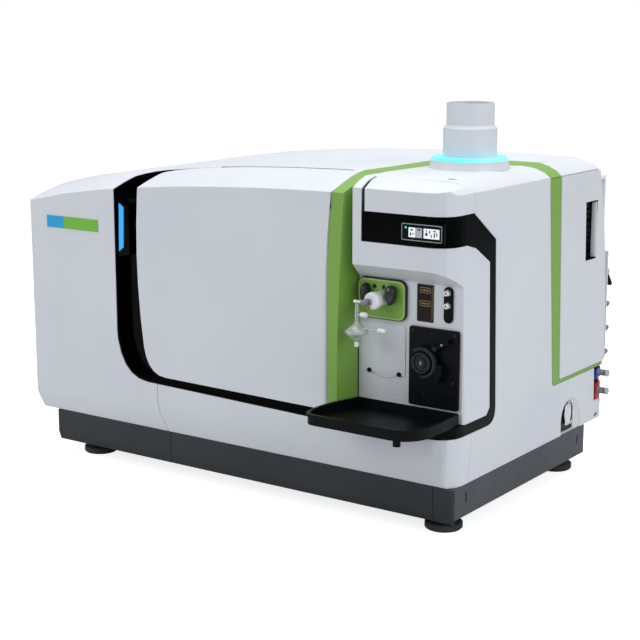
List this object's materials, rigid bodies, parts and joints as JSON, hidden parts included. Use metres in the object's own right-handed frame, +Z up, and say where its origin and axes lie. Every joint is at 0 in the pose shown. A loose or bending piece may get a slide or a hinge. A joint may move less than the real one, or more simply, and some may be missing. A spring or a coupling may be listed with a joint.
{
  "type": "inductively coupled plasma mass spectrometer",
  "caption": "Bench-standing plasma mass spectrometer with an arched light-grey body, green bands, a hinged front door, an open sampling bay with drip tray and a top exhaust spigot.",
  "frame": {"origin": "centre of the bounding box at the undersides of the feet", "axes": "+X to the right seen from the front, +Y to the back, +Z up"},
  "size_m": [1.1908, 0.8778, 0.8591],
  "materials": {
    "cover_paint": "satin light-grey paint on moulded covers",
    "green_paint": "satin green paint on moulded trim",
    "gloss_black": "gloss black",
    "plinth_paint": "dark grey powder coat",
    "foot_rubber": "moulded dark rubber",
    "matte_black": "fine-textured black",
    "knob_plastic": "semi-gloss charcoal",
    "light_blue": "lit diffuser",
    "light_cyan": "lit diffuser",
    "label_film": "printed film, blue and green",
    "screen_glass": "display glass",
    "end_cap_plastic": "translucent white",
    "grey_plastic": "satin grey",
    "clear_glass": "clear borosilicate and quartz",
    "indicator_gloss": "dark brown filter plastic",
    "fitting_steel": "machined stainless",
    "connector_blue": "moulded blue",
    "connector_red": "moulded red",
    "latch_chrome": "bright plate",
    "zinc_sheet": "zinc-plated sheet",
    "cast_aluminium": "as machined",
    "coil_copper": "bright copper"
  },
  "bodies": {
    "chassis": {"plinth_frame": "plinth_paint", "plinth_trim_left": "plinth_paint", "plinth_trim_right": "plinth_paint", "plinth_trim_corner": "plinth_paint", "foot_front_left": "foot_rubber", "foot_front_right": "foot_rubber", "foot_rear_left": "foot_rubber", "foot_rear_right": "foot_rubber", "main_cover": "cover_paint", "left_side_panel": "cover_paint", "rear_panel": "cover_paint", "lower_front_panel": "cover_paint", "right_side_cover": "cover_paint", "right_rear_cover": "cover_paint", "vent_grille": "matte_black", "green_pillar": "green_paint", "green_top_band": "green_paint", "green_side_band": "green_paint", "left_channel": "gloss_black", "bottom_channel": "gloss_black", "status_light": "light_blue", "label_plate": "label_film", "fascia": "cover_paint", "visor_cap": "cover_paint", "display_bezel": "gloss_black", "display_screen": "screen_glass", "edge_strip": "gloss_black", "torch_mount_plate": "green_paint", "injector_end_cap": "end_cap_plastic", "nebulizer": "grey_plastic", "spray_chamber": "clear_glass", "indicator_panel": "indicator_gloss", "sample_gas_ports": "matte_black", "pump_plate": "matte_black", "service_panel": "cover_paint", "exhaust_spigot": "cover_paint", "glow_ring": "light_cyan", "gas_manifold": "fitting_steel", "rear_handle": "end_cap_plastic", "water_connector_blue": "connector_blue", "water_connector_red": "connector_red", "inner_frame": "zinc_sheet", "torch_box": "zinc_sheet", "plasma_torch": "clear_glass", "load_coil": "coil_copper", "cone_interface": "fitting_steel", "vacuum_chamber": "cast_aluminium", "turbo_pump": "cast_aluminium", "quadrupole": "fitting_steel", "rf_generator": "zinc_sheet", "power_supply": "zinc_sheet"},
    "main_door": {"main_door": "cover_paint"},
    "drip_tray": {"drip_tray": "matte_black"},
    "knob_left": {"knob_left": "knob_plastic"},
    "knob_right": {"knob_right": "knob_plastic"},
    "pump_rotor": {"pump_rotor": "matte_black"},
    "pump_clamp_lever": {"pump_clamp_lever": "matte_black"},
    "rear_lever": {"rear_lever": "matte_black"},
    "toggle_latch": {"toggle_latch": "latch_chrome"},
    "cooling_fan": {"cooling_fan": "matte_black"}
  },
  "joints": [
    {"name": "door_hinge", "type": "hinge", "parent": "chassis", "child": "main_door", "pos_m": [0.26064, -0.30691, 0.231], "axis": [0, 0, 1], "range_deg": [0, 90]},
    {"name": "tray_slide", "type": "slide", "parent": "chassis", "child": "drip_tray", "axis": [0, -1, 0], "range_m": [0, 0.06]},
    {"name": "knob_left_turn", "type": "hinge", "parent": "chassis", "child": "knob_left", "pos_m": [0.34144, -0.26991, 0.4828], "axis": [0, 1, 0], "range_deg": [0, 50]},
    {"name": "knob_right_turn", "type": "hinge", "parent": "chassis", "child": "knob_right", "pos_m": [0.40344, -0.26991, 0.4828], "axis": [0, -1, 0], "range_deg": [0, 50]},
    {"name": "pump_turn", "type": "hinge", "parent": "chassis", "child": "pump_rotor", "pos_m": [0.47994, -0.26091, 0.3528], "axis": [0, 1, 0], "continuous": true},
    {"name": "pump_lever_turn", "type": "hinge", "parent": "chassis", "child": "pump_clamp_lever", "pos_m": [0.50744, -0.26091, 0.38478], "axis": [0, -1, 0], "range_deg": [0, 60]},
    {"name": "rear_lever_turn", "type": "hinge", "parent": "chassis", "child": "rear_lever", "pos_m": [0.55644, 0.41189, 0.45], "axis": [1, 0, 0], "range_deg": [0, 60]},
    {"name": "latch_turn", "type": "hinge", "parent": "chassis", "child": "toggle_latch", "pos_m": [0.56244, 0.22709, 0.1238], "axis": [0, 1, 0], "range_deg": [0, 60]},
    {"name": "fan_turn", "type": "hinge", "parent": "chassis", "child": "cooling_fan", "pos_m": [-0.42556, 0.38509, 0.41532], "axis": [0, 1, 0], "continuous": true}
  ]
}
